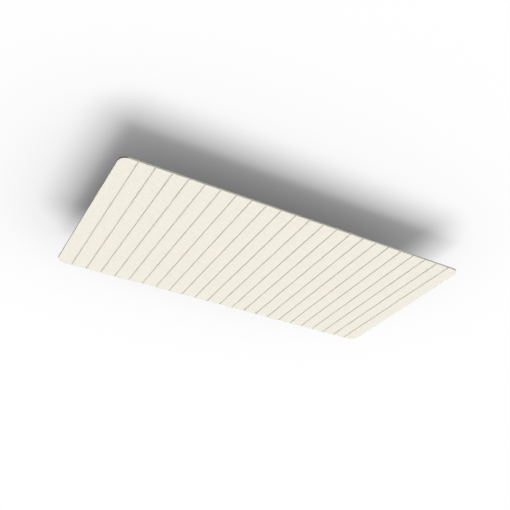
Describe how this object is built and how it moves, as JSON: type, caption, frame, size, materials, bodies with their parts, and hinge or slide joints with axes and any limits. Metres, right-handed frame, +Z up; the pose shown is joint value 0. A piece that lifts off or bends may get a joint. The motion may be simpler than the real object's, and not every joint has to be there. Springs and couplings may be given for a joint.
{
  "type": "suspended ceiling tile",
  "caption": "Thin rectangular ceiling tile with rounded corners, ruled across its underside by straight grooves, hung from threaded hanger plates on its back.",
  "frame": {"origin": "centre of the grooved face that looks down, which is the finished ceiling level", "axes": "+X along the tile's length, +Y across it and along its grooves, +Z up towards the ceiling it hangs from"},
  "size_m": [1.2, 0.6, 0.0175],
  "materials": {
    "felt": "matt",
    "zinc_steel": "satin"
  },
  "bodies": {
    "root": {"grooved_board": "felt", "hanger_plates": "zinc_steel"}
  },
  "joints": []
}
